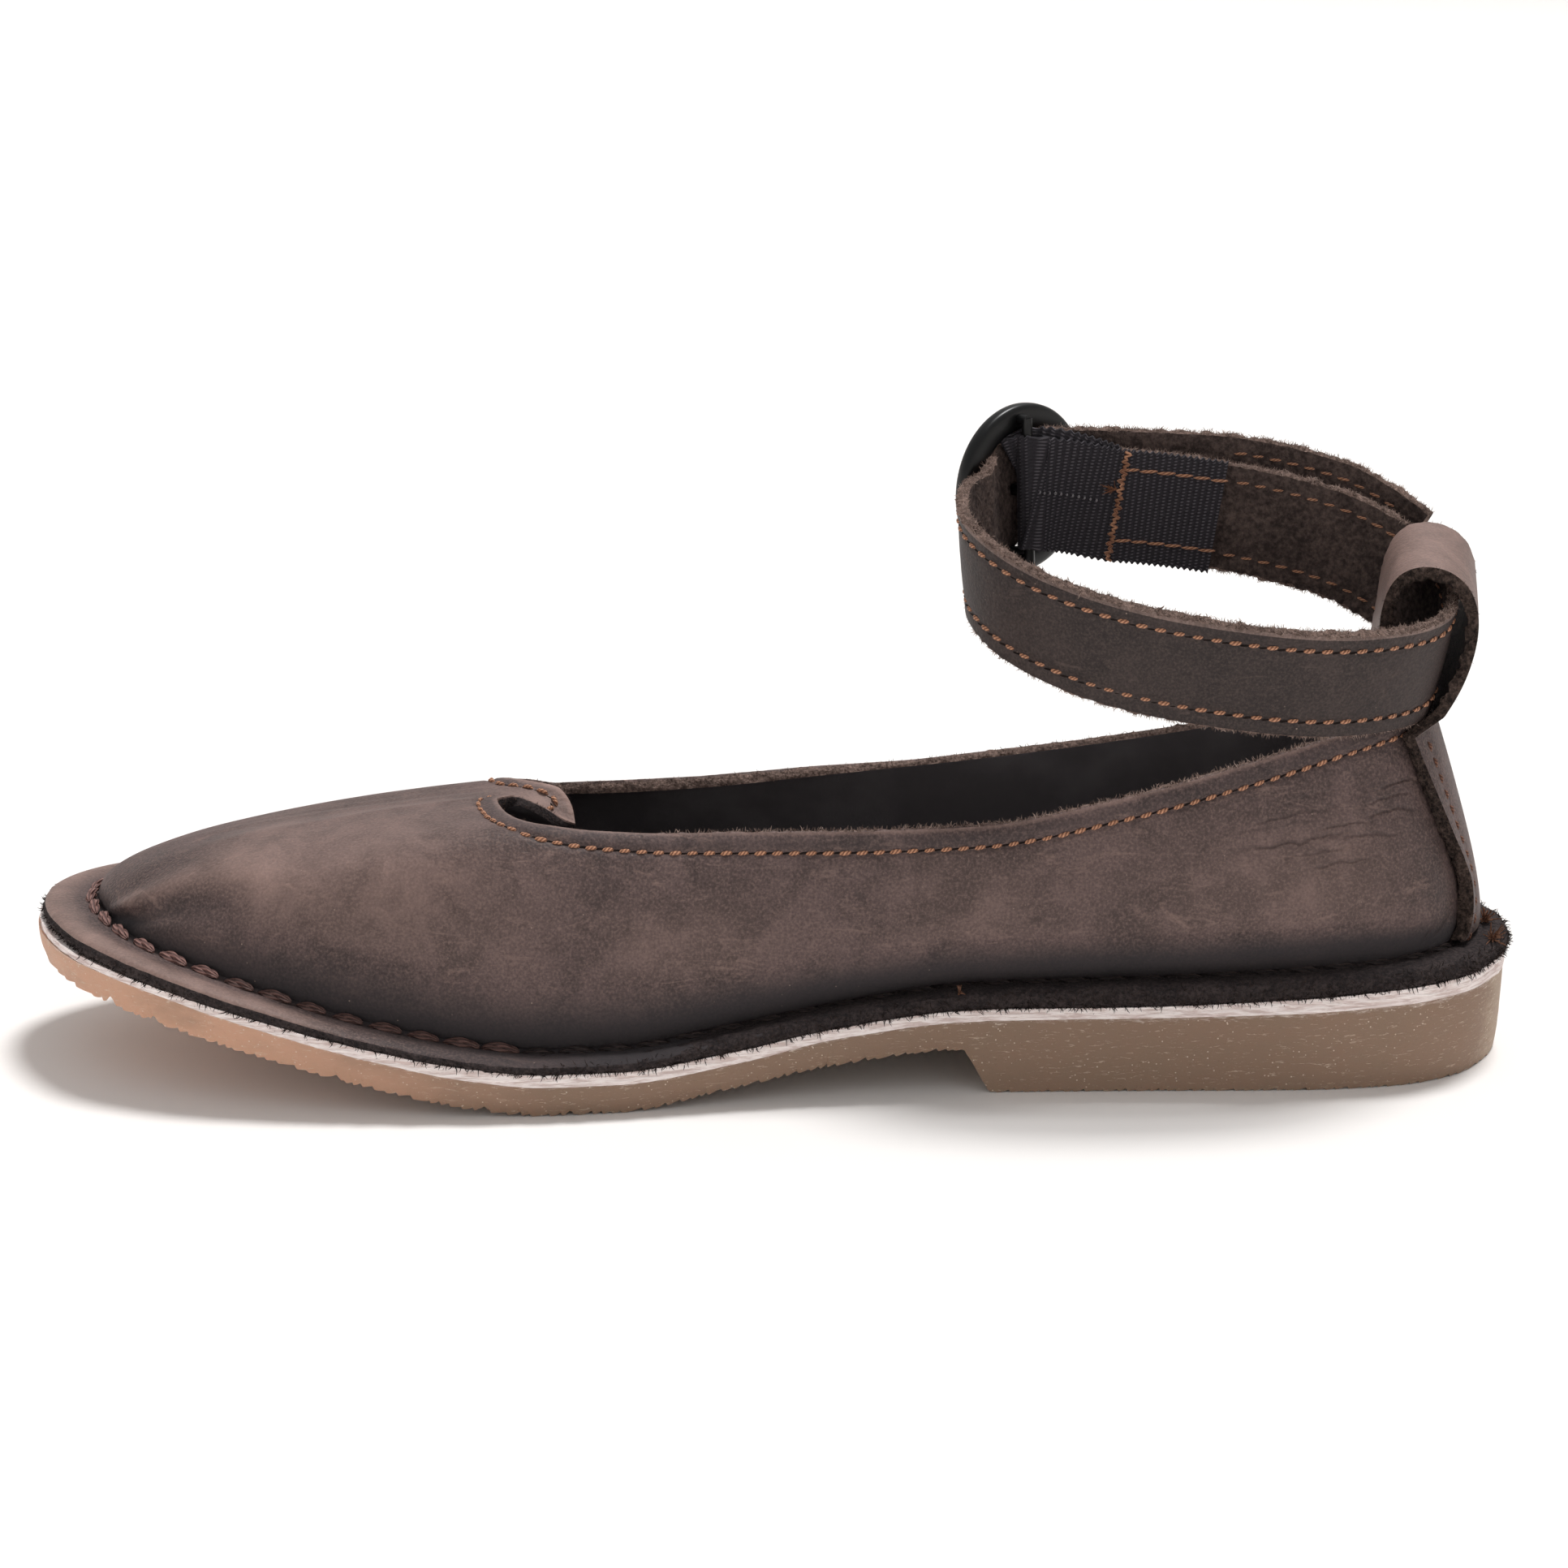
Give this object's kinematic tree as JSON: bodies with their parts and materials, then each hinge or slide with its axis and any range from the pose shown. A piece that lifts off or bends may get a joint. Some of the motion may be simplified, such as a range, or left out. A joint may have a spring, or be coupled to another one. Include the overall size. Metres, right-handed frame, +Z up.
{
  "type": "ankle strap flat shoe",
  "caption": "Right-foot stitch-down leather flat with a low open collar, a rubber sole with a low heel block, and a buckled ankle strap held by a loop at the heel.",
  "frame": {"origin": "on the floor, under the middle of the shoe's box", "axes": "+X from toe to heel along the sole, -Y the inner side of the foot, +Z up"},
  "size_m": [0.2714, 0.0936, 0.1146],
  "materials": {
    "outsole": "honey-coloured crepe-like rubber, satin",
    "runner": "pale matt midsole with a buffed edge",
    "upper": "dark brown waxed pull-up leather, soft sheen",
    "insole": "dark matt leather",
    "backstay": "dark brown leather with a raw edge",
    "ankle_strap": "dark brown leather with raw suede edges",
    "elastic": "black ribbed webbing",
    "buckle": "glossy black"
  },
  "bodies": {
    "root": {"outsole": "outsole", "runner": "runner", "upper": "upper", "insole": "insole", "backstay": "backstay", "ankle_strap": "ankle_strap", "elastic": "elastic", "buckle_ring": "buckle", "buckle_prong": "buckle"}
  },
  "joints": []
}
